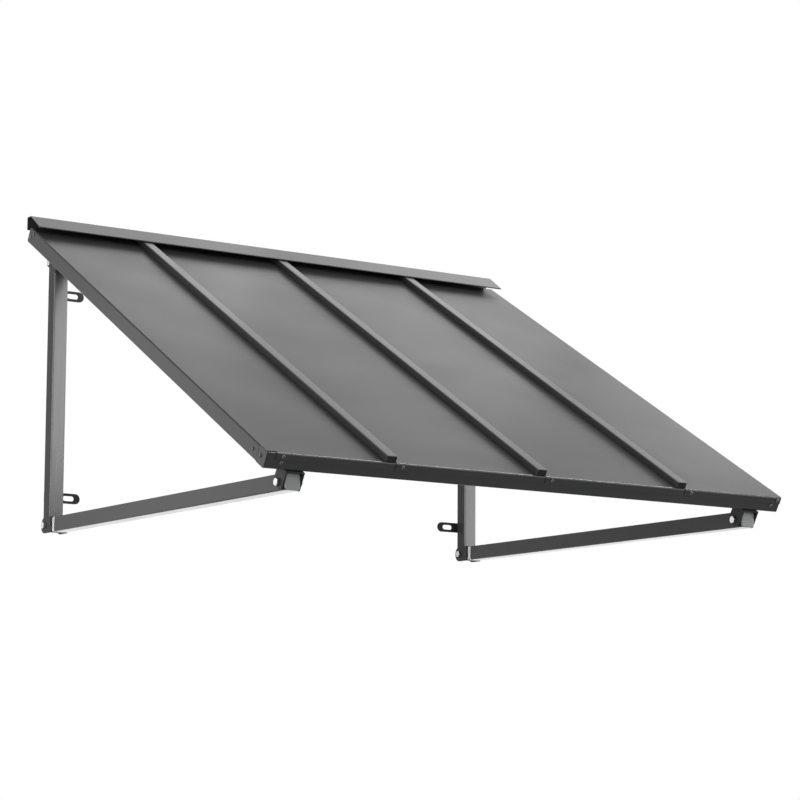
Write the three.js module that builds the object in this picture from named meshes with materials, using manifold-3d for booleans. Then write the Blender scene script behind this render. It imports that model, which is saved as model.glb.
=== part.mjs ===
// A standing seam metal awning with its tube frame: a sloped roof of four sheet pans and three
// seam caps on a frame of square tubes, a folded wall flashing, and two bolted side frames.
// Millimetres. X runs along the wall, the wall is the plane Y = 0, the front looks to -Y, Z is up.
// The origin is the centre of the back face of the flashing's wall leg.

import * as THREE from 'three';
import { mergeVertices } from 'three/addons/utils/BufferGeometryUtils.js';
import Module from 'manifold-3d';

const wasm = await Module();
wasm.setup();

// Roof
const roofWidth = 1078;
const slopeLength = 1095;
const roofPitch = THREE.MathUtils.degToRad(30);
const sheet = 1;
const seamPitch = 305;
const seamCount = 3;
const capWidth = 21;
const capHeight = 12;
const sheetRearInset = 4;
const flangeDepth = 12;
const flangeStart = 17;
const flangeSlit = 0.6;
const bareEdgeSetback = 3;

// Wall flashing
const flashingLegHeight = 25;
const flashingTopDepth = 16;
const flashingSlopeLength = 52;
const flashingSlopeAngle = THREE.MathUtils.degToRad(34);
const hemDrop = 2.6;
const hemReturn = 8;

// Square tubes of the roof frame, the posts and the arms
const tubeSide = 29;
const tubeWall = 1.5;
const tubeRadius = 2.5;
const sideFrameInset = 46;
const rearGapToWall = 2;

// U-shaped pivot brackets
const bracketThickness = 3;
const bracketRadius = 2;
const pivotDepth = 28;
const frontEarLength = 32;
const frontEarDepth = 36;
const frontEarCorner = 6;
const frontPivotOffset = 1;
const frontPivotDepth = 26.8;
const topEarLength = 44;
const topEarDepth = 36.5;
const topEarCorner = 2;
const topPivotDepth = 25;
const topPivotOffset = 10;
const footEarRadius = 15.5;
const armRise = 10;

// Hex bolts with a round bearing face under the head, and their nuts
const boltDiameter = 8;
const hexAcross = 12;
const headHeight = 4.5;
const headFaceDiameter = 11.6;
const headFaceHeight = 0.6;
const nutHeight = 6.5;
const boltTip = 3;

// Wall tabs
const tabThickness = 3;
const tabHeight = 20;
const tabReach = 48;
const tabSlotStart = 12;
const tabSlotLength = 24;
const tabSlotHeight = 10;
const tabPostMargin = 2;
const upperTabBelowPivot = 59.5;
const lowerTabAbovePivot = 57;

// End plugs
const postEndMargin = 10;
const armEndMargin = 16.5;
const armPlugFace = 3;
const armPlugSpigot = 7;
const armPlugCorner = 5;
const footPlugFace = 8;
const footPlugSpigot = 12;
const footGrooveWidth = 2.4;
const footGrooveDepth = 1.4;
const railPlugFace = 2;
const railPlugSpigot = 4;
const plugWall = 2;

// Pan-head screws, and where they sit
const screwHeadDiameter = 7;
const screwHeadHeight = 2.4;
const screwRimHeight = 0.8;
const screwCrownDiameter = 5;
const screwCrownDrop = 0.4;
const screwDiameter = 3;
const screwLength = 7;
const flangeScrewDrop = 5;
const lowerScrewDrop = 16;
const leftScrewInset = 30;
const rightFlangeScrewInset = 8;
const rightLowerScrewInset = 19;
const seamScrewOffset = 15;
const cornerScrewFromFront = 19;
const cornerScrewFromSeam = 19;
const rearScrewNear = 11;
const rearScrewFar = 22;
const rearScrewRise = 8;

// Clearances and curve steps
const touch = 0.3;
const holeClearance = 0.3;
const cutOver = 2;
const mergeDistance = 1e-4;
const roundSteps = 12;
const cornerSteps = 2;
const endSteps = 12;

// Derived places. Heights here are over the arms' front undersides; the whole is shifted at the end.
const halfWidth = roofWidth / 2;
const panUnder = touch;
const panTop = panUnder + sheet;
const capTop = panTop + capHeight;
const sheetFront = -(touch + sheet);
const sheetRear = slopeLength - sheetRearInset;
const upstandOuter = capWidth / 2 - sheet - touch;
const upstandTop = capTop - sheet - touch;
const seamXs = Array.from({ length: seamCount }, (_, i) => (i - (seamCount - 1) / 2) * seamPitch);
const tubeBore = tubeSide - 2 * tubeWall;
const plugSide = tubeBore - 2 * touch;
const holeDiameter = boltDiameter + 2 * holeClearance;
const screwHole = screwDiameter + 2 * holeClearance;
const bracketInside = tubeSide + 2 * touch;
const bracketOutside = bracketInside + 2 * bracketThickness;
const frameX = halfWidth - sideFrameInset - tubeSide / 2;
const postY = -(tabThickness + touch + tubeSide / 2);
const armZ = tubeSide / 2;
const frontPivotNormal = -(tubeSide + touch + frontPivotDepth);
const topPivotNormal = -(tubeSide + touch + topPivotDepth);
const sin = Math.sin(roofPitch);
const cos = Math.cos(roofPitch);

// The roof's front top edge stands so high that the front pivots are level with the arms, and so
// far out that the lower rear corners of the side rails just clear the wall.
const frontPivotSlope = tubeSide / 2;
const roofY = -rearGapToWall - slopeLength * cos - tubeSide * sin;
const roofZ = armZ - frontPivotSlope * sin - frontPivotNormal * cos;
const frontPivotY = roofY + frontPivotSlope * cos - frontPivotNormal * sin;
const topPivotSlope = (postY - roofY + topPivotNormal * sin) / cos;
const topPivotZ = roofZ + topPivotSlope * sin + topPivotNormal * cos;

// The arms rise a little from the front pivots to the foot pivots.
const footPivotZ = armZ + armRise;
const armSpan = Math.hypot(postY - frontPivotY, armRise);
const armTilt = Math.asin(armRise / armSpan);

// Flashing section: its hem stands on the seam caps and its wall leg on the wall.
const flashingEdgeY = -flashingTopDepth - flashingSlopeLength * Math.cos(flashingSlopeAngle);
const hemFootY = flashingEdgeY + hemDrop * Math.sin(flashingSlopeAngle);
const hemFootZ = roofZ + (hemFootY - roofY) * Math.tan(roofPitch) + (capTop + touch) / cos;
const flashingEdgeZ = hemFootZ + hemDrop * Math.cos(flashingSlopeAngle);
const flashingTopZ = flashingEdgeZ + flashingSlopeLength * Math.sin(flashingSlopeAngle);
const wallLegMidZ = flashingTopZ - flashingLegHeight / 2;

const awning = new THREE.Group();
awning.position.z = -wallLegMidZ;
const roof = new THREE.Group();
roof.position.set(0, roofY, roofZ);
roof.rotation.x = roofPitch;
awning.add(roof);

// Finishes
const darkCoat = () => new THREE.MeshStandardMaterial({
  color: 0x57595c, roughness: 0.45, metalness: 0.3, flatShading: true });
const zinc = () => new THREE.MeshStandardMaterial({
  color: 0xc9ccd0, roughness: 0.35, metalness: 0.9, flatShading: true });
const greyPlastic = () => new THREE.MeshStandardMaterial({
  color: 0x85888c, roughness: 0.6, metalness: 0, flatShading: true });
const paleNylon = () => new THREE.MeshStandardMaterial({
  color: 0xe6e6e3, roughness: 0.5, metalness: 0, flatShading: true });

// Solids: closed meshes for adding and cutting
function solidOf(geometry) {
  geometry.deleteAttribute('normal');
  geometry.deleteAttribute('uv');
  const merged = mergeVertices(geometry, mergeDistance);
  return new wasm.Manifold(new wasm.Mesh({
    numProp: 3,
    vertProperties: new Float32Array(merged.attributes.position.array),
    triVerts: new Uint32Array(merged.index.array),
  }));
}

function geometryOf(solid) {
  const mesh = solid.getMesh();
  const geometry = new THREE.BufferGeometry();
  const corners = new Float32Array(mesh.vertProperties);
  const triangles = new Uint32Array(mesh.triVerts);
  geometry.setAttribute('position', new THREE.BufferAttribute(corners, 3));
  geometry.setIndex(new THREE.BufferAttribute(triangles, 1));
  return geometry;
}

function addMesh(parent, name, solid, material) {
  const mesh = new THREE.Mesh(geometryOf(solid), material);
  mesh.name = name;
  parent.add(mesh);
  return mesh;
}

function block(x0, x1, y0, y1, z0, z1) {
  const geometry = new THREE.BoxGeometry(x1 - x0, y1 - y0, z1 - z0);
  geometry.translate((x0 + x1) / 2, (y0 + y1) / 2, (z0 + z1) / 2);
  return solidOf(geometry);
}

function roundedRectangle(width, height, radius, path = new THREE.Shape()) {
  const x = width / 2 - radius;
  const y = height / 2 - radius;
  path.moveTo(-x, -y - radius);
  path.lineTo(x, -y - radius);
  path.absarc(x, -y, radius, -Math.PI / 2, 0);
  path.lineTo(x + radius, y);
  path.absarc(x, y, radius, 0, Math.PI / 2);
  path.lineTo(-x, y + radius);
  path.absarc(-x, y, radius, Math.PI / 2, Math.PI);
  path.lineTo(-x - radius, -y);
  path.absarc(-x, -y, radius, Math.PI, Math.PI * 1.5);
  return path;
}

// A prism of a shape along +Z from z = 0
function prism(shape, length, curveSegments = cornerSteps) {
  return new THREE.ExtrudeGeometry(shape, { depth: length, bevelEnabled: false, curveSegments });
}

// Turns a prism along Z into one along X (shape x to Y, shape y to Z)
const zToX = new THREE.Matrix4().set(0, 0, 1, 0, 1, 0, 0, 0, 0, 1, 0, 0, 0, 0, 0, 1);

function tube(length) {
  const shape = roundedRectangle(tubeSide, tubeSide, tubeRadius);
  const boreRadius = Math.max(tubeRadius - tubeWall, tubeWall / 2);
  shape.holes.push(roundedRectangle(tubeBore, tubeBore, boreRadius, new THREE.Path()));
  return prism(shape, length);
}

function tubeAlongX(x0, x1, y, z) {
  return solidOf(tube(x1 - x0).applyMatrix4(zToX).translate(x0, y, z));
}

function tubeAlongY(x, y0, y1, z) {
  return solidOf(tube(y1 - y0).rotateX(Math.PI / 2).translate(x, y1, z));
}

function tubeAlongZ(x, y, z0, z1) {
  return solidOf(tube(z1 - z0).translate(x, y, z0));
}

function rodAlongX(diameter, length, x, y, z) {
  const geometry = new THREE.CylinderGeometry(diameter / 2, diameter / 2, length, roundSteps);
  return solidOf(geometry.rotateZ(Math.PI / 2).translate(x, y, z));
}

function rodAlongY(diameter, length, x, y, z) {
  const geometry = new THREE.CylinderGeometry(diameter / 2, diameter / 2, length, roundSteps);
  return solidOf(geometry.translate(x, y, z));
}

function cutAll(solid, cutters) {
  return cutters.reduce((rest, cutter) => rest.subtract(cutter), solid);
}

function joinAll(solids) {
  return solids.reduce((whole, solid) => whole.add(solid));
}

// Screws of the roof frame, by place. Fascia screws point to +Y, side screws to the middle.
const seamRights = seamXs.map((x) => x + capWidth / 2);
const fasciaScrews = [
  { x: -halfWidth + leftScrewInset, z: -flangeScrewDrop, onFlange: true },
  { x: -halfWidth + leftScrewInset, z: -lowerScrewDrop, onFlange: false },
  ...seamRights.map((x) => ({ x: x + seamScrewOffset, z: -flangeScrewDrop, onFlange: true })),
  { x: halfWidth - rightFlangeScrewInset, z: -flangeScrewDrop, onFlange: true },
  { x: halfWidth - rightLowerScrewInset, z: -lowerScrewDrop, onFlange: false },
];
const midZ = -tubeSide / 2;
const sideScrews = [
  { name: 'corner_screw_front', y: cornerScrewFromFront, z: midZ },
  { name: 'corner_screw_rear', y: tubeSide + cornerScrewFromSeam, z: midZ },
  { name: 'rear_screw_low', y: slopeLength - rearScrewNear, z: midZ },
  { name: 'rear_screw_high', y: slopeLength - rearScrewFar, z: midZ + rearScrewRise },
];
const sides = [{ name: 'left', sign: -1 }, { name: 'right', sign: 1 }];

// A left-hand piece turned half round its upright axis serves on the right
const turnFor = (sign) => (sign < 0 ? 0 : Math.PI);

function fasciaScrewHole(screw) {
  return rodAlongY(screwHole, 2 * screwLength, screw.x, 0, screw.z);
}

function sideScrewHole(screw, sign) {
  return rodAlongX(screwHole, 2 * screwLength, sign * halfWidth, screw.y, screw.z);
}

// A screw along -Z with its head on top of the plane z = 0
function screwSolid() {
  const top = touch + screwHeadHeight;
  const points = [
    [0, -screwLength],
    [screwDiameter / 2, -screwLength],
    [screwDiameter / 2, touch],
    [screwHeadDiameter / 2, touch],
    [screwHeadDiameter / 2, touch + screwRimHeight],
    [screwCrownDiameter / 2, top - screwCrownDrop],
    [0, top],
  ].map(([radius, height]) => new THREE.Vector2(radius, height));
  return solidOf(new THREE.LatheGeometry(points, roundSteps).rotateX(Math.PI / 2));
}

// Roof pans: flat sheets with turned-up seam edges and a turned-down front flange. Where the first
// pan has no flange, its bare front edge is set back on the rail.
function roofPan(index) {
  const first = index === 0;
  const last = index === seamCount;
  const x0 = first ? -halfWidth : seamXs[index - 1] + upstandOuter - sheet;
  const x1 = last ? halfWidth : seamXs[index] - upstandOuter + sheet;
  const flangeX0 = first ? -halfWidth + flangeStart : seamRights[index - 1] + flangeSlit / 2;
  const flangeX1 = last ? halfWidth : seamRights[index] - flangeSlit / 2;
  const foldX0 = Math.max(x0, flangeX0);
  const foldX1 = Math.min(x1, flangeX1);
  const foldEnd = bareEdgeSetback + sheet;
  const pieces = [
    block(x0, x1, bareEdgeSetback, sheetRear, panUnder, panTop),
    block(foldX0, foldX1, sheetFront, foldEnd, panUnder, panTop),
    block(flangeX0, flangeX1, sheetFront, -touch, -flangeDepth, panTop),
  ];
  if (!first) {
    pieces.push(block(x0, x0 + sheet, bareEdgeSetback, sheetRear, panUnder, upstandTop));
  }
  if (!last) {
    pieces.push(block(x1 - sheet, x1, bareEdgeSetback, sheetRear, panUnder, upstandTop));
  }
  const flangeScrews = fasciaScrews.filter((screw) => screw.onFlange);
  return cutAll(joinAll(pieces), flangeScrews.map(fasciaScrewHole));
}

for (let i = 0; i <= seamCount; i += 1) {
  addMesh(roof, `roof_pan_${i + 1}`, roofPan(i), darkCoat());
}

// Seam caps: channels over the turned-up edges, with a closed front end
function seamCap(x) {
  const left = x - capWidth / 2;
  const right = x + capWidth / 2;
  const bottom = panTop + touch;
  return joinAll([
    block(left, right, sheetFront, sheetRear, capTop - sheet, capTop),
    block(left, left + sheet, sheetFront, sheetRear, bottom, capTop),
    block(right - sheet, right, sheetFront, sheetRear, bottom, capTop),
    block(left, right, sheetFront, -touch, bottom, capTop),
  ]);
}

seamXs.forEach((x, i) => addMesh(roof, `seam_cap_${i + 1}`, seamCap(x), darkCoat()));

// Roof frame: a full-width front rail with end plugs, two side rails behind it, a back rail between
const railMid = tubeSide / 2;
const frontRailEnd = halfWidth - railPlugFace - touch;
const frontRail = tubeAlongX(-frontRailEnd, frontRailEnd, railMid, midZ);
addMesh(roof, 'front_rail', cutAll(frontRail, fasciaScrews.map(fasciaScrewHole)), darkCoat());

const backRailEnd = halfWidth - tubeSide - touch;
const backRailY = slopeLength - railMid;
addMesh(roof, 'back_rail', tubeAlongX(-backRailEnd, backRailEnd, backRailY, midZ), darkCoat());

function sideRail(sign) {
  const x = sign * (halfWidth - tubeSide / 2);
  const rail = tubeAlongY(x, tubeSide + touch, slopeLength, midZ);
  return cutAll(rail, sideScrews.slice(1).map((screw) => sideScrewHole(screw, sign)));
}

// A front rail plug along +X: its face from x = 0, its hollow spigot behind it, and a screw hole
function railPlug() {
  const shape = roundedRectangle(tubeSide, tubeSide, tubeRadius);
  const face = solidOf(prism(shape, railPlugFace).applyMatrix4(zToX));
  const half = plugSide / 2;
  const inner = half - plugWall;
  const spigotEnd = railPlugFace + touch + railPlugSpigot;
  const spigot = block(0, spigotEnd, -half, half, -half, half);
  const hollow = block(railPlugFace, spigotEnd + cutOver, -inner, inner, -inner, inner);
  const hole = rodAlongX(screwHole, 2 * screwLength, 0, cornerScrewFromFront - railMid, 0);
  return cutAll(face.add(spigot.subtract(hollow)), [hole]);
}

sides.forEach(({ name, sign }) => {
  addMesh(roof, `side_rail_${name}`, sideRail(sign), darkCoat());
  const plug = addMesh(roof, `front_rail_plug_${name}`, railPlug(), darkCoat());
  plug.rotation.y = turnFor(sign);
  plug.position.set(sign * halfWidth, railMid, midZ);
});

fasciaScrews.forEach((screw, i) => {
  const mesh = addMesh(roof, `fascia_screw_${i + 1}`, screwSolid(), darkCoat());
  mesh.rotation.x = Math.PI / 2;
  mesh.position.set(screw.x, screw.onFlange ? sheetFront : 0, screw.z);
});

sides.forEach(({ name, sign }) => sideScrews.forEach((screw) => {
  const mesh = addMesh(roof, `${screw.name}_${name}`, screwSolid(), darkCoat());
  mesh.rotation.y = sign * Math.PI / 2;
  mesh.position.set(sign * halfWidth, screw.y, screw.z);
}));

// Wall flashing: one folded strip with an upright wall leg, a top, a slope leg and a hem
function foldedSheet(points) {
  const sideOf = (a, b) => new THREE.Vector2(a.y - b.y, b.x - a.x).normalize();
  const inner = points.map((point, i) => {
    const before = i > 0 ? sideOf(points[i - 1], point) : null;
    const after = i < points.length - 1 ? sideOf(point, points[i + 1]) : null;
    if (!before || !after) {
      return point.clone().addScaledVector(before ?? after, sheet);
    }
    const mitre = before.clone().add(after).normalize();
    return point.clone().addScaledVector(mitre, sheet / mitre.dot(before));
  });
  return new THREE.Shape([...points, ...inner.reverse()]);
}

function flashingPoints() {
  const down = new THREE.Vector2(-Math.cos(flashingSlopeAngle), -Math.sin(flashingSlopeAngle));
  const under = new THREE.Vector2(-down.y, down.x);
  const ridge = new THREE.Vector2(-flashingTopDepth, flashingTopZ);
  const edge = ridge.clone().addScaledVector(down, flashingSlopeLength);
  const foot = edge.clone().addScaledVector(under, hemDrop);
  return [
    new THREE.Vector2(0, flashingTopZ - flashingLegHeight),
    new THREE.Vector2(0, flashingTopZ),
    ridge,
    edge,
    foot,
    foot.clone().addScaledVector(down, -hemReturn),
  ];
}

const flashing = prism(foldedSheet(flashingPoints()), roofWidth).applyMatrix4(zToX);
flashing.translate(-halfWidth, 0, 0);
addMesh(awning, 'wall_flashing', solidOf(flashing), darkCoat());

// Side frames
function pivotHole(x, y, z) {
  return rodAlongX(holeDiameter, bracketOutside + 2 * cutOver, x, y, z);
}

// A plate along X with its top edge on z = 0 and its two lower corners rounded
function earOutline(length, depth, corner) {
  const half = length / 2;
  const shape = new THREE.Shape();
  shape.moveTo(-half, 0);
  shape.lineTo(-half, -depth + corner);
  shape.absarc(-half + corner, -depth + corner, corner, Math.PI, Math.PI * 1.5);
  shape.lineTo(half - corner, -depth);
  shape.absarc(half - corner, -depth + corner, corner, -Math.PI / 2, 0);
  shape.lineTo(half, 0);
  const plate = prism(shape, bracketOutside, endSteps).applyMatrix4(zToX);
  return plate.translate(-bracketOutside / 2, 0, 0);
}

// A U-shaped bracket whose web lies under the plane z = 0 and whose ears hang down. The pivot
// passes the ears at y = 0, holeDepth below the web, and the ears reach further to -Y by offset.
function bracketSolid({ length, depth, corner, holeDepth, offset = 0 }) {
  const half = bracketOutside / 2;
  const innerHalf = bracketInside / 2;
  const bend = bracketRadius;
  const shape = new THREE.Shape();
  shape.moveTo(-half, -depth);
  shape.lineTo(-innerHalf, -depth);
  shape.lineTo(-innerHalf, -bracketThickness);
  shape.lineTo(innerHalf, -bracketThickness);
  shape.lineTo(innerHalf, -depth);
  shape.lineTo(half, -depth);
  shape.lineTo(half, -bend);
  shape.absarc(half - bend, -bend, bend, 0, Math.PI / 2);
  shape.lineTo(-half + bend, 0);
  shape.absarc(-half + bend, -bend, bend, Math.PI / 2, Math.PI);
  const channel = prism(shape, length).rotateX(Math.PI / 2).translate(0, length / 2 - offset, 0);
  const outline = earOutline(length, depth, corner).translate(0, -offset, 0);
  return solidOf(channel).intersect(solidOf(outline)).subtract(pivotHole(0, 0, -holeDepth));
}

function hexagon(across) {
  const radius = across / Math.sqrt(3);
  return new THREE.Shape(Array.from({ length: 6 }, (_, i) => {
    const angle = (i + 0.5) * Math.PI / 3;
    return new THREE.Vector2(radius * Math.cos(angle), radius * Math.sin(angle));
  }));
}

// Bolt along +X: x = 0 is the outer face of the bracket's ear
function boltSolid() {
  const shankEnd = bracketOutside + touch + nutHeight + boltTip;
  const shankLength = shankEnd + headFaceHeight;
  const head = prism(hexagon(hexAcross), headHeight).applyMatrix4(zToX);
  head.translate(-headFaceHeight - headHeight, 0, 0);
  const face = rodAlongX(headFaceDiameter, headFaceHeight, -touch - headFaceHeight / 2, 0, 0);
  const shank = rodAlongX(boltDiameter, shankLength, shankEnd - shankLength / 2, 0, 0);
  return joinAll([solidOf(head), face, shank]);
}

function nutSolid() {
  const hex = solidOf(prism(hexagon(hexAcross), nutHeight).applyMatrix4(zToX));
  return hex.subtract(rodAlongX(holeDiameter, 2 * nutHeight + 2 * cutOver, 0, 0, 0));
}

function postSolid(x) {
  const post = tubeAlongZ(x, postY, footPivotZ - postEndMargin, topPivotZ + postEndMargin);
  return cutAll(post, [pivotHole(x, postY, footPivotZ), pivotHole(x, postY, topPivotZ)]);
}

// An arm's own frame: the foot pivot at its origin, the front pivot at y = -armSpan
const armRearY = -pivotDepth - touch - footPlugFace - touch;
const armFrontY = -armSpan - armEndMargin;

function armSolid() {
  return tubeAlongY(0, armFrontY, armRearY, 0).subtract(pivotHole(0, -armSpan, 0));
}

// An end plug along +Y: its face from y = -face to 0, its hollow spigot from 0 to spigot
function endPlug(face, spigot, corner) {
  const shape = roundedRectangle(tubeSide, tubeSide, corner);
  const plate = solidOf(prism(shape, face).rotateX(Math.PI / 2));
  const half = plugSide / 2;
  const inner = half - plugWall;
  const stem = block(-half, half, -touch, spigot + touch, -half, half);
  const hollow = block(-inner, inner, 0, spigot + cutOver, -inner, inner);
  return plate.add(stem.subtract(hollow));
}

// The rear plug's face is split into two rims by a shallow groove round it
function footPlug() {
  const plug = endPlug(footPlugFace, footPlugSpigot, tubeRadius);
  const middle = -footPlugFace / 2;
  const reach = tubeSide / 2 + cutOver;
  const core = tubeSide / 2 - footGrooveDepth;
  const slice = [middle - footGrooveWidth / 2, middle + footGrooveWidth / 2];
  const ring = block(-reach, reach, ...slice, -reach, reach).subtract(
    block(-core, core, slice[0] - cutOver, slice[1] + cutOver, -core, core));
  return plug.subtract(ring);
}

function slotShape(length, height) {
  const radius = height / 2;
  const x = length / 2 - radius;
  const shape = new THREE.Shape();
  shape.moveTo(-x, -radius);
  shape.lineTo(x, -radius);
  shape.absarc(x, 0, radius, -Math.PI / 2, Math.PI / 2);
  shape.lineTo(-x, radius);
  shape.absarc(-x, 0, radius, Math.PI / 2, Math.PI * 1.5);
  return shape;
}

// A wall tab about its post's middle, with its slotted round end towards +X
function tabSolid() {
  const start = -tubeSide / 2 + tabPostMargin;
  const radius = tabHeight / 2;
  const roundX = tubeSide / 2 + tabReach - radius;
  const slotX = tubeSide / 2 + tabSlotStart + tabSlotLength / 2;
  const outline = new THREE.Shape();
  outline.moveTo(start, -radius);
  outline.lineTo(roundX, -radius);
  outline.absarc(roundX, 0, radius, -Math.PI / 2, Math.PI / 2);
  outline.lineTo(start, radius);
  const plate = prism(outline, tabThickness, endSteps).rotateX(Math.PI / 2);
  const slot = prism(slotShape(tabSlotLength, tabSlotHeight), tabThickness + 2 * cutOver, endSteps);
  slot.rotateX(Math.PI / 2).translate(slotX, cutOver, 0);
  return solidOf(plate).subtract(solidOf(slot));
}

sides.forEach(({ name, sign }) => {
  const x = sign * frameX;
  addMesh(awning, `post_${name}`, postSolid(x), darkCoat());
  const armFrame = new THREE.Group();
  armFrame.position.set(x, postY, footPivotZ);
  armFrame.rotation.x = armTilt;
  awning.add(armFrame);
  addMesh(armFrame, `arm_${name}`, armSolid(), darkCoat());

  const upperTabZ = topPivotZ - upperTabBelowPivot;
  const lowerTabZ = footPivotZ + lowerTabAbovePivot;
  [['upper', upperTabZ], ['lower', lowerTabZ]].forEach(([level, z]) => {
    const tab = addMesh(awning, `wall_tab_${level}_${name}`, tabSolid(), darkCoat());
    tab.rotation.y = turnFor(sign);
    tab.position.set(x, 0, z);
  });

  const frameUnder = -tubeSide - touch;
  const topSolid = bracketSolid({
    length: topEarLength, depth: topEarDepth, corner: topEarCorner,
    holeDepth: topPivotDepth, offset: topPivotOffset });
  const topBracket = addMesh(roof, `bracket_top_${name}`, topSolid, darkCoat());
  topBracket.position.set(x, topPivotSlope, frameUnder);
  const frontSolid = bracketSolid({
    length: frontEarLength, depth: frontEarDepth, corner: frontEarCorner,
    holeDepth: frontPivotDepth, offset: frontPivotOffset });
  const frontBracket = addMesh(roof, `bracket_front_${name}`, frontSolid, darkCoat());
  frontBracket.position.set(x, frontPivotSlope, frameUnder);
  const footSolid = bracketSolid({
    length: 2 * footEarRadius, depth: pivotDepth + footEarRadius, corner: footEarRadius,
    holeDepth: pivotDepth });
  const footBracket = addMesh(armFrame, `bracket_foot_${name}`, footSolid, darkCoat());
  footBracket.rotation.x = Math.PI / 2;
  footBracket.position.set(0, -pivotDepth, 0);

  const frontPlugSolid = endPlug(armPlugFace, armPlugSpigot, armPlugCorner);
  const frontPlug = addMesh(armFrame, `arm_front_plug_${name}`, frontPlugSolid, greyPlastic());
  frontPlug.position.set(0, armFrontY - touch, 0);
  const rearPlug = addMesh(armFrame, `arm_rear_plug_${name}`, footPlug(), paleNylon());
  rearPlug.rotation.z = Math.PI;
  rearPlug.position.set(0, armRearY + touch, 0);

  const headX = x - bracketOutside / 2;
  const nutX = x + bracketOutside / 2 + touch;
  const pivots = [
    ['top', postY, topPivotZ],
    ['foot', postY, footPivotZ],
    ['front', frontPivotY, armZ],
  ];
  pivots.forEach(([place, y, z]) => {
    addMesh(awning, `bolt_${place}_${name}`, boltSolid(), zinc()).position.set(headX, y, z);
    addMesh(awning, `nut_${place}_${name}`, nutSolid(), zinc()).position.set(nutX, y, z);
  });
});

export default awning;
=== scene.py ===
# Looks of a standing seam metal awning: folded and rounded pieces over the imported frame, their
# finishes, a pale floor, soft light and the camera. Metres, +Z up, the wall is the plane Y = 0.

import math

import bmesh
import bpy
from mathutils import Matrix, Vector


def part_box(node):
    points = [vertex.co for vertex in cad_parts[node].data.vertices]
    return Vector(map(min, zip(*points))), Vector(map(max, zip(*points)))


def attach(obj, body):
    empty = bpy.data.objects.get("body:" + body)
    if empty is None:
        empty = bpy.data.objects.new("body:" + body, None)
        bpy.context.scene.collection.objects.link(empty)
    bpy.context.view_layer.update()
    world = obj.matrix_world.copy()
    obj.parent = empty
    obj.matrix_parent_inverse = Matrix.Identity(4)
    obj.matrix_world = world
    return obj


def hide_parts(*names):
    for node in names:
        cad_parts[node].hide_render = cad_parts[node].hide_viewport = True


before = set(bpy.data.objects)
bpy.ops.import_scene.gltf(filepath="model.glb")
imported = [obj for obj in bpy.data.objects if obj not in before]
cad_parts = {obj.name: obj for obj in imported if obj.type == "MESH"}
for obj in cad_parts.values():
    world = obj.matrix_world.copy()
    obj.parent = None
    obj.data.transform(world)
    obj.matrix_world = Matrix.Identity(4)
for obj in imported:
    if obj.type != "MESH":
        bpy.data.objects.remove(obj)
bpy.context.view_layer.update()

# Camera, fitted to the awning's edges in the photograph
IMAGE_SIDE = 800
SENSOR = 36.0
FOCAL_PIXELS = 2628.1
CAMERA_PLACE = (-2.5977, -4.6321, -1.1379)
CAMERA_YAW = math.radians(32.23)
CAMERA_PITCH = math.radians(6.916)
CAMERA_ROLL = math.radians(0.347)
CAMERA_SHIFT = 0.12

# Shared by several kinds of pieces
SIDES = ("left", "right")
UP = Vector((0, 0, 1))
TINY = 1e-5
ARC_STEPS = 5
RING_STEPS = 48
FLAT_FACING = 0.9
BEND_FACING = 0.1
FLAT_ANGLE = math.radians(1)
EDGE_ANGLE = math.radians(32)
EDGE_STEPS = 2
ROUND_STEPS = 3
SHEET_EDGE = 0.0002
TUBE_EDGE = 0.0004
BRACKET_EDGE = 0.0007

# Roof and sheet
ROOF_PITCH = math.radians(30)
SHEET = 0.001
FOLD_RADIUS = 0.0026
SEAM_FOLD_RADIUS = 0.001
CAP_RADIUS = 0.0022
BARE_SETBACK = 0.0043
WAVE_HEIGHT = 0.0009
WAVE_RATES = ((9, 21, 0), (-17, 13, 2))
WAVE_MARGIN = 0.035
GRID_ACROSS = 10
GRID_ALONG = 36
JOINT_GAP = 0.0014
CAP_STEPS = 3
CAP_PROFILE = 0.5

# Wall flashing
FLASHING_LEG = 0.025
FLASHING_TOP = 0.016
FLASHING_ANGLE = math.radians(34)
FLASHING_HEM = 0.0026
FLASHING_RETURN = 0.008
FLASHING_RADIUS = 0.0012
FLASHING_FACING = Vector((0, -0.5, 0.8))

# Hex bolts, nuts and screws
HEX_ACROSS = 0.012
HEX_CROWN = 0.0113
HEX_CHAMFER = math.radians(30)
HEAD_HEIGHT = 0.0045
HEAD_FACE_RADIUS = 0.0058
HEAD_FACE_HEIGHT = 0.0006
BOLT_RADIUS = 0.004
THREAD_DEPTH = 0.0005
THREAD_PITCH = 0.00125
THREAD_LENGTH = 0.016
TIP_CHAMFER = 0.0008
NUT_HOLE = 0.0043
SCREW_HEAD_RADIUS = 0.0035
SCREW_HEAD_HEIGHT = 0.0024
SCREW_RIM = 0.0003
SCREW_SHANK_RADIUS = 0.0015
SCREW_SHANK = 0.007
RECESS_WIDTH = 0.0009
RECESS_REACH = 0.0042
RECESS_DEPTH = 0.0013
TURN_STEP = math.radians(37)
NUT_TURN = 3

# End plugs
PLUG_FACE = 0.003
PLUG_STEP = 0.0018
PLUG_CORNER = 0.006
PLUG_EDGE = 0.0022
PLUG_DOME = 0.0005
FOOT_RIM = 0.008
GROOVE_WIDTH = 0.0024
GROOVE_EDGE = 0.0002

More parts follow.
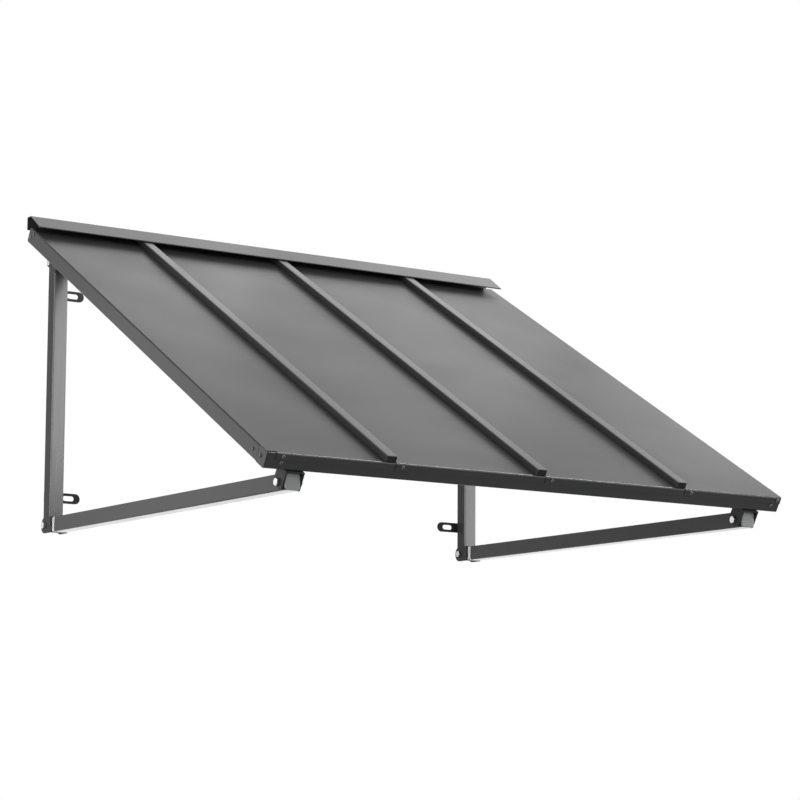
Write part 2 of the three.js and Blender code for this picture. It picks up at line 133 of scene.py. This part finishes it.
# Finishes: colours and roughness of the dark and light patches, size and depth of the fine grain
PATCH_RANGE = (0.3, 0.7)
PATCH_SCALE = 9.0
PATCH_DETAIL = 4.0
GRAIN_DETAIL = 2.0
GRAIN_STRENGTH = 0.35
PAINT = {
    "dark": (0.030, 0.0303, 0.0307),
    "light": (0.035, 0.0353, 0.0357),
    "rough": (0.29, 0.33),
    "grain": (900.0, 0.00004),
}
STREAKED_PAINT = {
    "dark": (0.024, 0.0243, 0.0247),
    "light": (0.04, 0.0403, 0.0407),
    "rough": (0.27, 0.4),
    "grain": PAINT["grain"],
    "patch_scale": 260.0,
    "stretch": (1, 1, 0.03),
}
# Darker colours for the painted shade on the wall tabs and the seam caps' front ends
SHADE_PAINT = {
    "dark": (0.022, 0.0221, 0.0223),
    "light": (0.026, 0.0261, 0.0263),
    "rough": PAINT["rough"],
    "grain": PAINT["grain"],
}
ZINC = {
    "dark": (0.42, 0.425, 0.435),
    "light": (0.58, 0.585, 0.595),
    "rough": (0.22, 0.36),
    "grain": (600.0, 0.00006),
    "metallic": 1.0,
}
GREY_PLASTIC = {
    "dark": (0.25, 0.254, 0.258),
    "light": (0.28, 0.284, 0.288),
    "rough": (0.4, 0.5),
    "grain": (1100.0, 0.00008),
}
PALE_NYLON = {
    "dark": (0.86, 0.86, 0.84),
    "light": (0.9, 0.9, 0.88),
    "rough": (0.4, 0.5),
    "grain": (800.0, 0.00008),
}
COATS = {
    "dark_coat": {**PAINT, "specular": 0.17},
    # A glossier coat on the seam caps and wall flashing: painted sheen
    "painted_sheen_coat": {**PAINT, "specular": 0.42},
    # A dull coat: on the posts' sides and in the foot plugs' grooves it is painted shade
    "matt_shade_coat": {**PAINT, "specular": 0.06},
    # Streaked coat of the posts' fronts, glossy as painted sheen
    "post_coat": {**STREAKED_PAINT, "specular": 1.0},
    # Darker coat of painted shade on the wall tabs and the seam caps' front ends
    "tab_coat": {**SHADE_PAINT, "specular": 0.03},
    # A glossy coat of painted highlight on bends, and of painted reflection on the arms' undersides
    "painted_highlight_coat": {**PAINT, "specular": 1.0, "rough": (0.24, 0.28)},
    "screw_coat": {**PAINT, "specular": 1.0, "rough": (0.16, 0.22)},
    "zinc": ZINC,
    "grey_plastic": GREY_PLASTIC,
    "pale_nylon": PALE_NYLON,
}

# Light and surroundings
FLOOR_PLACE = (0, -0.5, -2.3)
FLOOR_RADIUS = 2.2
FLOOR_STEPS = 96
FLOOR_COLOUR = (0.8, 0.8, 0.8, 1)
FLOOR_ROUGHNESS = 0.9
SKY_STRENGTH = 0.6
WHITE = (1, 1, 1, 1)
BACKGROUND_RAYS = ("Is Camera Ray", "Is Glossy Ray", "Is Transmission Ray")

# Lamps: place, point that each one faces, width and height, watts
LAMPS = {
    "sky_right": ((0.9, 0.9, 1.3), (0, -0.4, -0.2), (1.6, 1.2), 1.7),
    "sky_back": ((0.1, 0.9, 0.75), (-0.2, -0.15, -0.1), (1.0, 0.5), 1.3),
    "ridge": ((0.7, 0.45, 0.5), (0.2, -0.15, -0.1), (0.9, 0.35), 0.7),
    "corner": ((1.5, 0.15, 0.35), (0.45, -0.35, -0.25), (0.6, 0.6), 0.9),
    "side_left": ((-1.7, -0.4, -0.2), (-0.4, -0.4, -0.35), (1.0, 1.0), 12),
    "back_left": ((-1.35, 0.78, -0.35), (-0.5, -0.45, -0.5), (0.6, 0.8), 1.7),
    "front_right": ((2.15, -1.45, -0.42), (0, -0.97, -0.57), (0.8, 0.5), 9),
    "front_top": ((0.8, -1.46, 0.64), (0.8, -0.965, -0.556), (1.3, 0.25), 16),
    "under_roof": ((-0.235, -0.355, -0.264), (-0.235, -0.105, -0.697), (0.43, 0.8), 3.8),
    "post_right": ((0.72, -0.40, -0.40), (0.4785, -0.03, -0.45), (0.25, 0.45), 0.6),
    "low_back": ((0.6, 1.6, -0.95), (-0.2, -0.5, -0.6), (4.2, 0.7), 8.5),
}


# Camera
def make_camera():
    data = bpy.data.cameras.new("camera")
    data.sensor_width = SENSOR
    data.lens = FOCAL_PIXELS / IMAGE_SIDE * SENSOR
    data.shift_y = CAMERA_SHIFT
    camera = bpy.data.objects.new("camera", data)
    turn = Matrix.Rotation(-CAMERA_YAW, 4, "Z")
    turn = turn @ Matrix.Rotation(math.pi / 2 + CAMERA_PITCH, 4, "X")
    turn = turn @ Matrix.Rotation(CAMERA_ROLL, 4, "Z")
    camera.matrix_world = Matrix.Translation(CAMERA_PLACE) @ turn
    bpy.context.scene.collection.objects.link(camera)
    bpy.context.scene.camera = camera


# Finishes
def new_material(name):
    material = bpy.data.materials.new(name)
    material.use_nodes = True
    nodes = material.node_tree.nodes
    return material, nodes, material.node_tree.links, nodes["Principled BSDF"]


def noise(nodes, links, scale, detail, stretch=(1, 1, 1)):
    where = nodes.new("ShaderNodeTexCoord")
    mapping = nodes.new("ShaderNodeMapping")
    mapping.inputs["Scale"].default_value = stretch
    links.new(where.outputs["Object"], mapping.inputs["Vector"])
    texture = nodes.new("ShaderNodeTexNoise")
    texture.inputs["Scale"].default_value = scale
    texture.inputs["Detail"].default_value = detail
    links.new(mapping.outputs["Vector"], texture.inputs["Vector"])
    return texture.outputs["Fac"]


def spread(nodes, links, value, low, high):
    stretch = nodes.new("ShaderNodeMapRange")
    stretch.inputs["From Min"].default_value = PATCH_RANGE[0]
    stretch.inputs["From Max"].default_value = PATCH_RANGE[1]
    stretch.inputs["To Min"].default_value = low
    stretch.inputs["To Max"].default_value = high
    links.new(value, stretch.inputs["Value"])
    return stretch.outputs["Result"]


def tint(nodes, links, value, dark, light):
    ramp = nodes.new("ShaderNodeValToRGB")
    for element, place, colour in zip(ramp.color_ramp.elements, PATCH_RANGE, (dark, light)):
        element.position = place
        element.color = (*colour, 1)
    links.new(value, ramp.inputs["Fac"])
    return ramp.outputs["Color"]


def bump(nodes, links, value, distance, shader):
    relief = nodes.new("ShaderNodeBump")
    relief.inputs["Strength"].default_value = GRAIN_STRENGTH
    relief.inputs["Distance"].default_value = distance
    links.new(value, relief.inputs["Height"])
    links.new(relief.outputs["Normal"], shader.inputs["Normal"])


def finish(name, dark, light, rough, grain, metallic=0.0, specular=0.5, patch_scale=PATCH_SCALE,
           stretch=(1, 1, 1)):
    material, nodes, links, shader = new_material(name)
    shader.inputs["Metallic"].default_value = metallic
    shader.inputs["Specular IOR Level"].default_value = specular
    grain_scale, grain_depth = grain
    patches = noise(nodes, links, patch_scale, PATCH_DETAIL, stretch)
    fine = noise(nodes, links, grain_scale, GRAIN_DETAIL)
    links.new(tint(nodes, links, patches, dark, light), shader.inputs["Base Color"])
    links.new(spread(nodes, links, patches, *rough), shader.inputs["Roughness"])
    bump(nodes, links, fine, grain_depth, shader)
    return material


finishes = {name: finish(name, **values) for name, values in COATS.items()}


# Pieces
def add_piece(node, builder, slot, edge, segments=EDGE_STEPS, thick=False, coats=None):
    mesh = bpy.data.meshes.new(node + "_finished")
    builder.to_mesh(mesh)
    builder.free()
    mesh.shade_smooth()
    for coat in coats or (slot,):
        mesh.materials.append(finishes[coat])
    piece = bpy.data.objects.new(node + "_finished", mesh)
    bpy.context.scene.collection.objects.link(piece)
    if thick:
        solid = piece.modifiers.new("sheet", "SOLIDIFY")
        solid.thickness = SHEET
        solid.offset = -1
        solid.use_even_offset = True
    if edge:
        rounding = piece.modifiers.new("edges", "BEVEL")
        rounding.limit_method = "ANGLE"
        rounding.angle_limit = EDGE_ANGLE
        rounding.width = edge
        rounding.segments = segments
    normals = piece.modifiers.new("normals", "WEIGHTED_NORMAL")
    normals.keep_sharp = True
    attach(piece, "root")
    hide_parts(node)
    return piece


# A copy of a node's own mesh with its flat faces whole
def clean_copy(node):
    builder = bmesh.new()
    builder.from_mesh(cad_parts[node].data)
    bmesh.ops.remove_doubles(builder, verts=builder.verts, dist=TINY)
    bmesh.ops.dissolve_limit(builder, angle_limit=FLAT_ANGLE, use_dissolve_boundaries=False,
                             verts=builder.verts, edges=builder.edges)
    return builder


# The roof's own frame: X along the wall, Y up the slope, Z out of the roof
to_roof = Matrix.Rotation(-ROOF_PITCH, 4, "X")
from_roof = Matrix.Rotation(ROOF_PITCH, 4, "X")


# The arms' own direction, a little above the level from the front to the wall
arm_low, arm_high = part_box("arm_left")
arm_side = arm_high.x - arm_low.x
arm_tilt = math.atan2(arm_high.z - arm_low.z - arm_side, arm_high.y - arm_low.y)
from_arm = Matrix.Rotation(arm_tilt, 4, "X")
to_arm = from_arm.inverted()


def roof_points(node):
    return [to_roof @ vertex.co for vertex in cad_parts[node].data.vertices]


def span(points, axis):
    values = [point[axis] for point in points]
    return min(values), max(values)


def spans_of(points):
    spans = [span(points, axis) for axis in range(3)]
    return spans, Vector(sum(pair) / 2 for pair in spans)


def arc(centre, radius, start, end):
    angles = [start + (end - start) * i / ARC_STEPS for i in range(ARC_STEPS + 1)]
    return [(centre[0] + radius * math.cos(a), centre[1] + radius * math.sin(a)) for a in angles]


# A grid of quads between rows of points
def add_grid(builder, rows):
    made = [[builder.verts.new(point) for point in row] for row in rows]
    for row, following in zip(made, made[1:]):
        for i in range(len(row) - 1):
            builder.faces.new((row[i], row[i + 1], following[i + 1], following[i]))


def face_outwards(builder, out):
    bmesh.ops.remove_doubles(builder, verts=builder.verts, dist=TINY)
    bmesh.ops.recalc_face_normals(builder, faces=builder.faces)
    largest = max(builder.faces, key=lambda face: face.calc_area())
    if largest.normal.dot(out) < 0:
        bmesh.ops.reverse_faces(builder, faces=builder.faces)


def between(low, high, steps):
    return [low + (high - low) * i / steps for i in range(steps + 1)]


# Gentle waves of the thin sheet between its edges, in the roof's own frame: each wave has a rate across
# the roof, a rate along the slope and a phase
def swelling(x, y, edges):
    left, right, front, rear = edges
    inside = min(x - left, right - x, y - front - WAVE_MARGIN, rear - WAVE_MARGIN - y)
    fade = min(1.0, max(0.0, inside / WAVE_MARGIN))
    fade = fade * fade * (3 - 2 * fade)
    waves = [math.sin(across * x + along * y + phase) for across, along, phase in WAVE_RATES]
    wave = (1 + sum(waves) / len(waves)) / 2
    return WAVE_HEIGHT * fade * wave


# The faces whose normal is chosen take a piece's second coat
def mark_faces(builder, chosen):
    for face in builder.faces:
        face.material_index = int(chosen(face.normal))


# The rounded upper front edge, in the roof's own frame; its faces take a glossy coat as a painted
# highlight
def bend_highlight_faces(normal):
    return normal.y < -BEND_FACING and normal.z > BEND_FACING


# Roof pans: the upper surface of a thin sheet with turned-up edges and a rounded front flange
def pan_builder(node):
    points = roof_points(node)
    lowest = min(point.z for point in points)
    front, rear = span(points, 1)
    rear_points = [point for point in points if point.y > rear - TINY]
    x0, x1 = span(rear_points, 0)
    under, crest = span(rear_points, 2)
    flange_x0, flange_x1 = span([point for point in points if point.z < lowest + TINY], 0)
    flange_x0 += JOINT_GAP
    top = under + SHEET
    upright = [point.x for point in rear_points if point.z > crest - TINY]
    r = SEAM_FOLD_RADIUS
    section = []
    if min(upright) < x0 + TINY:
        wall = x0 + SHEET
        section.append((wall, crest))
        section += arc((wall + r, top + r), r, math.pi, math.pi * 1.5)
    else:
        section.append((x0, top))
    fold_x0 = max(section[-1][0], flange_x0)
    right = []
    if max(upright) > x1 - TINY:
        wall = x1 - SHEET
        right = arc((wall - r, top + r), r, -math.pi / 2, 0)
        right.append((wall, crest))
    else:
        right.append((x1, top))
    fold_x1 = min(right[0][0], flange_x1)
    edges = (section[-1][0], right[0][0], front, rear)
    section += [(x, top) for x in between(fold_x0, fold_x1, GRID_ACROSS)] + right
    fold = front + FOLD_RADIUS
    bare = front + BARE_SETBACK
    builder = bmesh.new()
    rows = between(bare, rear, GRID_ALONG)
    add_grid(builder, [[(x, y, z + swelling(x, y, edges)) for x, z in section] for y in rows])
    across = between(fold_x0, fold_x1, GRID_ACROSS)
    add_grid(builder, [[(x, y, top) for x in across] for y in (fold, bare)])
    bend = arc((fold, top - FOLD_RADIUS), FOLD_RADIUS, math.pi / 2, math.pi)
    bend.append((front, lowest))
    stations = sorted({flange_x0, flange_x1, *across})
    add_grid(builder, [[(x, y, z) for x in stations] for y, z in bend])
    face_outwards(builder, UP)
    # The front bend takes the glossy coat, a painted highlight along the fold
    mark_faces(builder, bend_highlight_faces)
    builder.transform(from_roof)
    return builder


# Seam caps: a channel open below and behind, with rounded folds and a closed front end
def cap_builder(node):
    spans, middle = spans_of(roof_points(node))
    size = Matrix.Diagonal((*(pair[1] - pair[0] for pair in spans), 1))
    builder = bmesh.new()
    bmesh.ops.create_cube(builder, size=1, matrix=Matrix.Translation(middle) @ size)
    open_faces = [face for face in builder.faces
                  if face.normal.z < -FLAT_FACING or face.normal.y > FLAT_FACING]
    bmesh.ops.delete(builder, geom=open_faces, context="FACES_ONLY")
    folds = [edge for edge in builder.edges if len(edge.link_faces) == 2]
    loose = [edge for edge in builder.edges if not edge.link_faces]
    bmesh.ops.delete(builder, geom=loose, context="EDGES")
    bmesh.ops.bevel(builder, geom=folds, offset=CAP_RADIUS, segments=CAP_STEPS, profile=CAP_PROFILE,
                    affect="EDGES", clamp_overlap=True)
    face_outwards(builder, UP)
    # The closed front end takes a darker coat as painted shade
    mark_faces(builder, lambda normal: normal.y < -FLAT_FACING)
    builder.transform(from_roof)
    return builder


# Corner points of a folded line with each inner corner rounded
def rounded_line(corners, radius):
    line = [corners[0]]
    for before, corner, after in zip(corners, corners[1:], corners[2:]):
        back = (before - corner).normalized()
        ahead = (after - corner).normalized()
        half = back.angle(ahead) / 2
        reach = radius / math.tan(half)
        centre = corner + (back + ahead).normalized() * (radius / math.sin(half))
        start = corner + back * reach - centre
        end = corner + ahead * reach - centre
        first = math.atan2(start.y, start.x)
        turn = math.remainder(math.atan2(end.y, end.x) - first, 2 * math.pi)
        line += [Vector(point) for point in arc(centre, radius, first, first + turn)]
    line.append(corners[-1])
    return line


# Wall flashing: the outer surface of one folded strip, from the wall leg to the hem's return
def flashing_builder(node):
    low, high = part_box(node)
    down = Vector((-math.cos(FLASHING_ANGLE), -math.sin(FLASHING_ANGLE)))
    under = Vector((-down.y, down.x))
    ridge = Vector((high.y - FLASHING_TOP, high.z))
    edge = ridge + down * ((ridge.x - low.y) / math.cos(FLASHING_ANGLE))
    foot = edge + under * FLASHING_HEM
    corners = [
        Vector((high.y, high.z - FLASHING_LEG)),
        Vector((high.y, high.z)),
        ridge,
        edge,
        foot,
        foot - down * FLASHING_RETURN,
    ]
    line = rounded_line(corners, FLASHING_RADIUS)
    builder = bmesh.new()
    add_grid(builder, [[(x, p.x, p.y) for p in line] for x in (low.x, high.x)])
    face_outwards(builder, FLASHING_FACING)
    return builder


# Rings of points about the Z axis; radius and height may follow the angle
def ring(builder, radius, height):
    points = []
    for i in range(RING_STEPS):
        angle = 2 * math.pi * i / RING_STEPS
        r = radius(angle) if callable(radius) else radius
        z = height(angle) if callable(height) else height
        points.append(builder.verts.new((r * math.cos(angle), r * math.sin(angle), z)))
    return points


def skin(builder, rings, closed=False):
    pairs = list(zip(rings, rings[1:]))
    if closed:
        pairs.append((rings[-1], rings[0]))
    for lower, upper in pairs:
        for i in range(RING_STEPS):
            j = (i + 1) % RING_STEPS
            builder.faces.new((lower[i], lower[j], upper[j], upper[i]))


def hex_radius(angle):
    sector = math.pi / 3
    return HEX_ACROSS / 2 / math.cos((angle + sector / 2) % sector - sector / 2)


def hex_drop(angle):
    return max(0.0, hex_radius(angle) - HEX_CROWN / 2) * math.tan(HEX_CHAMFER)


def mark_sharp(builder, angle=EDGE_ANGLE):
    for edge in builder.edges:
        if len(edge.link_faces) == 2:
            edge.smooth = edge.calc_face_angle() < angle


# Bolt along Z with its head up: z = 0 is the round bearing face under the head
def bolt_builder(length):
    builder = bmesh.new()
    head_top = HEAD_FACE_HEIGHT + HEAD_HEIGHT
    rings = [
        ring(builder, HEX_CROWN / 2, head_top),
        ring(builder, hex_radius, lambda a: head_top - hex_drop(a)),
        ring(builder, hex_radius, HEAD_FACE_HEIGHT),
        ring(builder, HEAD_FACE_RADIUS, HEAD_FACE_HEIGHT),
        ring(builder, HEAD_FACE_RADIUS, 0),
        ring(builder, BOLT_RADIUS, 0),
    ]
    tip = head_top - length
    turns = int(THREAD_LENGTH / THREAD_PITCH)
    start = tip + TIP_CHAMFER + turns * THREAD_PITCH
    for i in range(turns):
        rings.append(ring(builder, BOLT_RADIUS, start - i * THREAD_PITCH))
        rings.append(ring(builder, BOLT_RADIUS - THREAD_DEPTH, start - (i + 0.5) * THREAD_PITCH))
    rings.append(ring(builder, BOLT_RADIUS, tip + TIP_CHAMFER))
    rings.append(ring(builder, BOLT_RADIUS - TIP_CHAMFER, tip))
    skin(builder, rings)
    builder.faces.new(rings[0])
    builder.faces.new(list(reversed(rings[-1])))
    bmesh.ops.recalc_face_normals(builder, faces=builder.faces)
    mark_sharp(builder)
    return builder


# Nut along Z from z = 0, chamfered at both ends
def nut_builder(height):
    builder = bmesh.new()
    rings = [
        ring(builder, NUT_HOLE, 0),
        ring(builder, HEX_CROWN / 2, 0),
        ring(builder, hex_radius, hex_drop),
        ring(builder, hex_radius, lambda a: height - hex_drop(a)),
        ring(builder, HEX_CROWN / 2, height),
        ring(builder, NUT_HOLE, height),
    ]
    skin(builder, rings, closed=True)
    bmesh.ops.recalc_face_normals(builder, faces=builder.faces)
    mark_sharp(builder)
    return builder


# Distance from the middle of a square with rounded corners to its outline
def square_radius(angle, half, corner):
    across = abs(math.cos(angle))
    up = abs(math.sin(angle))
    straight = half / max(across, up)
    inner = half - corner
    if min(across, up) * straight <= inner:
        return straight
    along = inner * (across + up)
    return along + math.sqrt(along * along - 2 * inner * inner + corner * corner)


# End plug along Z with its pillow-shaped face up, and a closed spigot below it
def plug_builder(side, spigot_side, face, length):
    builder = bmesh.new()
    half = side / 2
    spigot = spigot_side / 2

    def outline(inset, height):
        return ring(builder, lambda a: square_radius(a, half - inset, PLUG_CORNER - inset), height)

    rings = [
        ring(builder, lambda a: square_radius(a, spigot, SHEET), face - length),
        ring(builder, lambda a: square_radius(a, spigot, SHEET), 0),
        outline(0, 0),
    ]
    for i in range(ARC_STEPS + 1):
        angle = math.pi / 2 * i / ARC_STEPS
        inset = PLUG_EDGE * (1 - math.cos(angle))
        drop = PLUG_DOME + PLUG_EDGE * (1 - math.sin(angle))
        rings.append(outline(inset, face - drop))
    rings.append(ring(builder, lambda a: square_radius(a, half / 2, PLUG_CORNER), face))
    skin(builder, rings)
    builder.faces.new(list(reversed(rings[0])))
    builder.faces.new(rings[-1])
    bmesh.ops.recalc_face_normals(builder, faces=builder.faces)
    mark_sharp(builder)
    return builder


# Pan-head screw along Z with its domed head up, and a cross recess cut into it
def screw_mesh():
    builder = bmesh.new()
    rise = SCREW_HEAD_HEIGHT - SCREW_RIM
    rings = [
        ring(builder, SCREW_SHANK_RADIUS, -SCREW_SHANK),
        ring(builder, SCREW_SHANK_RADIUS, 0),
        ring(builder, SCREW_HEAD_RADIUS, 0),
    ]
    for i in range(ARC_STEPS + 1):
        angle = math.pi / 2 * i / (ARC_STEPS + 1)
        height = SCREW_RIM + rise * math.sin(angle)
        rings.append(ring(builder, SCREW_HEAD_RADIUS * math.cos(angle), height))
    skin(builder, rings)
    builder.faces.new(list(reversed(rings[0])))
    builder.faces.new(rings[-1])
    bmesh.ops.recalc_face_normals(builder, faces=builder.faces)
    head = bpy.data.objects.new("screw_head", bpy.data.meshes.new("screw_head"))
    builder.to_mesh(head.data)
    builder.clear()
    for size in ((RECESS_REACH, RECESS_WIDTH), (RECESS_WIDTH, RECESS_REACH)):
        place = Matrix.Translation((0, 0, SCREW_HEAD_HEIGHT))
        scale = Matrix.Diagonal((*size, 2 * RECESS_DEPTH, 1))
        bmesh.ops.create_cube(builder, size=1, matrix=place @ scale)
    cutter = bpy.data.objects.new("recess", bpy.data.meshes.new("recess"))
    builder.to_mesh(cutter.data)
    builder.free()
    for obj in (head, cutter):
        bpy.context.scene.collection.objects.link(obj)
    cut = head.modifiers.new("recess", "BOOLEAN")
    cut.operation = "DIFFERENCE"
    cut.solver = "EXACT"
    cut.use_self = True
    cut.object = cutter
    bpy.context.view_layer.update()
    shaped = head.evaluated_get(bpy.context.evaluated_depsgraph_get())
    mesh = bpy.data.meshes.new_from_object(shaped)
    for obj in (head, cutter):
        bpy.data.objects.remove(obj)
    return mesh


def upright_to(direction):
    return UP.rotation_difference(Vector(direction)).to_matrix().to_4x4()


def spin(index):
    return Matrix.Rotation(index * TURN_STEP, 4, "Z")


def nodes_named(start):
    return [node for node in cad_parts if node.startswith(start)]


# Roof: pans, seam caps and wall flashing; the caps and flashing take a glossier coat as painted sheen
def add_roof():
    for name in nodes_named("roof_pan_"):
        add_piece(name, pan_builder(name), "dark_coat", SHEET_EDGE, thick=True,
                  coats=("dark_coat", "painted_highlight_coat"))
    for name in nodes_named("seam_cap_"):
        add_piece(name, cap_builder(name), "dark_coat", SHEET_EDGE, thick=True,
                  coats=("painted_sheen_coat", "tab_coat"))
    add_piece("wall_flashing", flashing_builder("wall_flashing"), "dark_coat", SHEET_EDGE, thick=True,
              coats=("painted_sheen_coat",))


# Square tubes: the posts' fronts take a glossy streaked coat as painted sheen and their sides a dull
# coat as painted shade; the arms' undersides take a glossy coat as a painted reflection, the front
# rail's bend as a painted highlight
def add_tubes():
    tubes = ["front_rail", "back_rail"]
    tubes += [f"{name}_{side}" for name in ("side_rail", "post", "arm") for side in SIDES]
    for name in tubes:
        tube = clean_copy(name)
        coats = ("dark_coat",)
        if name.startswith("post"):
            coats = ("post_coat", "matt_shade_coat")
            mark_faces(tube, lambda normal: abs(normal.x) > FLAT_FACING)
        if name.startswith("arm"):
            coats = ("dark_coat", "painted_highlight_coat")
            mark_faces(tube, lambda normal: normal.z < -FLAT_FACING)
        if name == "front_rail":
            coats = ("dark_coat", "painted_highlight_coat")
            tube.transform(to_roof)
            mark_faces(tube, bend_highlight_faces)
            tube.transform(from_roof)
        add_piece(name, tube, "dark_coat", TUBE_EDGE, coats=coats)


# Brackets in a dull coat, and wall tabs in a darker coat of painted shade
def add_plates():
    plates = ("bracket_top", "bracket_front", "bracket_foot", "wall_tab_upper", "wall_tab_lower")
    for name in [f"{plate}_{side}" for plate in plates for side in SIDES]:
        coat = "tab_coat" if "tab" in name else "matt_shade_coat"
        add_piece(name, clean_copy(name), "dark_coat", BRACKET_EDGE, segments=ROUND_STEPS, coats=(coat,))


# The groove round the rim of a foot plug takes the dark dull coat as painted shade, for the shadow it
# lies in
def paint_groove_shade(builder):
    along = {vertex: (to_arm @ vertex.co).y for vertex in builder.verts}
    middle = max(along.values()) - FOOT_RIM / 2
    for face in builder.faces:
        inside = [abs(along[vertex] - middle) < GROOVE_WIDTH / 2 + TINY for vertex in face.verts]
        face.material_index = int(all(inside))


# Plugs of the front rail and of the arms' rear and front ends
def add_plugs():
    for side in SIDES:
        name = f"front_rail_plug_{side}"
        add_piece(name, clean_copy(name), "dark_coat", TUBE_EDGE, segments=ROUND_STEPS)
    for side in SIDES:
        name = f"arm_rear_plug_{side}"
        plug = clean_copy(name)
        # The groove's dark coat is painted shade
        paint_groove_shade(plug)
        add_piece(name, plug, "pale_nylon", GROOVE_EDGE, segments=ROUND_STEPS,
                  coats=("pale_nylon", "matt_shade_coat"))
    for side in SIDES:
        name = f"arm_front_plug_{side}"
        points = [to_arm @ vertex.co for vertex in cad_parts[name].data.vertices]
        (across, along, _), middle = spans_of(points)
        width = across[1] - across[0]
        plug = plug_builder(width, width - 2 * PLUG_STEP, PLUG_FACE, along[1] - along[0])
        seat = Vector((middle.x, along[0] + PLUG_FACE, middle.z))
        plug.transform(from_arm @ Matrix.Translation(seat) @ upright_to((0, -1, 0)))
        add_piece(name, plug, "grey_plastic", 0)


# Bolts with their heads to the left, and their nuts
def add_bolts():
    pivots = [f"{place}_{side}" for place in ("top", "foot", "front") for side in SIDES]
    for index, pivot in enumerate(pivots):
        low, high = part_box("bolt_" + pivot)
        middle = (low + high) / 2
        seat = Vector((low.x + HEAD_HEIGHT + HEAD_FACE_HEIGHT, middle.y, middle.z))
        bolt = bolt_builder(high.x - low.x)
        bolt.transform(Matrix.Translation(seat) @ upright_to((-1, 0, 0)) @ spin(index))
        add_piece("bolt_" + pivot, bolt, "zinc", 0)
        low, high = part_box("nut_" + pivot)
        middle = (low + high) / 2
        seat = Vector((low.x, middle.y, middle.z))
        nut = nut_builder(high.x - low.x)
        nut.transform(Matrix.Translation(seat) @ upright_to((1, 0, 0)) @ spin(index + NUT_TURN))
        add_piece("nut_" + pivot, nut, "zinc", 0)


# Screws of the fascia, which look to the front, and of the roof frame's sides
def add_screws():
    shape = screw_mesh()
    screws = sorted(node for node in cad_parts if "screw" in node)
    for index, name in enumerate(screws):
        (across, along, _), middle = spans_of(roof_points(name))
        if name.startswith("fascia"):
            direction = Vector((0, -1, 0))
            seat = Vector((middle.x, along[0] + SCREW_HEAD_HEIGHT, middle.z))
        else:
            sign = -1 if name.endswith("left") else 1
            direction = Vector((sign, 0, 0))
            top = across[0] if sign < 0 else across[1]
            seat = Vector((top - sign * SCREW_HEAD_HEIGHT, middle.y, middle.z))
        screw = bmesh.new()
        screw.from_mesh(shape)
        screw.transform(from_roof @ Matrix.Translation(seat) @ upright_to(direction) @ spin(index))
        mark_sharp(screw)
        add_piece(name, screw, "dark_coat", 0, coats=("screw_coat",))


# Floor, surroundings and light
def sees_background(nodes, links):
    path = nodes.new("ShaderNodeLightPath")
    total = path.outputs[BACKGROUND_RAYS[0]]
    for name in BACKGROUND_RAYS[1:]:
        either = nodes.new("ShaderNodeMath")
        either.operation = "MAXIMUM"
        links.new(total, either.inputs[0])
        links.new(path.outputs[name], either.inputs[1])
        total = either.outputs[0]
    return total


def make_floor():
    builder = bmesh.new()
    bmesh.ops.create_circle(builder, cap_ends=True, segments=FLOOR_STEPS, radius=FLOOR_RADIUS)
    mesh = bpy.data.meshes.new("floor")
    builder.to_mesh(mesh)
    builder.free()
    floor = bpy.data.objects.new("floor", mesh)
    floor.location = FLOOR_PLACE
    material, nodes, links, shader = new_material("floor")
    shader.inputs["Base Color"].default_value = FLOOR_COLOUR
    shader.inputs["Roughness"].default_value = FLOOR_ROUGHNESS
    glow = nodes.new("ShaderNodeEmission")
    glow.inputs["Color"].default_value = WHITE
    mix = nodes.new("ShaderNodeMixShader")
    links.new(sees_background(nodes, links), mix.inputs["Fac"])
    links.new(shader.outputs["BSDF"], mix.inputs[1])
    links.new(glow.outputs["Emission"], mix.inputs[2])
    links.new(mix.outputs["Shader"], nodes["Material Output"].inputs["Surface"])
    mesh.materials.append(material)
    bpy.context.scene.collection.objects.link(floor)


def make_world():
    world = bpy.data.worlds.new("studio")
    world.use_nodes = True
    bpy.context.scene.world = world
    nodes = world.node_tree.nodes
    links = world.node_tree.links
    soft = nodes["Background"]
    soft.inputs["Color"].default_value = WHITE
    soft.inputs["Strength"].default_value = SKY_STRENGTH
    white = nodes.new("ShaderNodeBackground")
    white.inputs["Color"].default_value = WHITE
    mix = nodes.new("ShaderNodeMixShader")
    links.new(sees_background(nodes, links), mix.inputs["Fac"])
    links.new(soft.outputs["Background"], mix.inputs[1])
    links.new(white.outputs["Background"], mix.inputs[2])
    links.new(mix.outputs["Shader"], nodes["World Output"].inputs["Surface"])


def add_lamp(name, place, target, size, power):
    data = bpy.data.lights.new(name, "AREA")
    data.shape = "RECTANGLE"
    data.size = size[0]
    data.size_y = size[1]
    data.energy = power
    lamp = bpy.data.objects.new(name, data)
    lamp.location = place
    aim = Vector(target) - Vector(place)
    lamp.rotation_euler = aim.to_track_quat("-Z", "Y").to_euler()
    lamp.visible_camera = False
    bpy.context.scene.collection.objects.link(lamp)


make_camera()
add_roof()
add_tubes()
add_plates()
add_plugs()
add_bolts()
add_screws()
make_floor()
make_world()
for name, lamp in LAMPS.items():
    add_lamp(name, *lamp)

bpy.context.scene.view_settings.view_transform = "Standard"
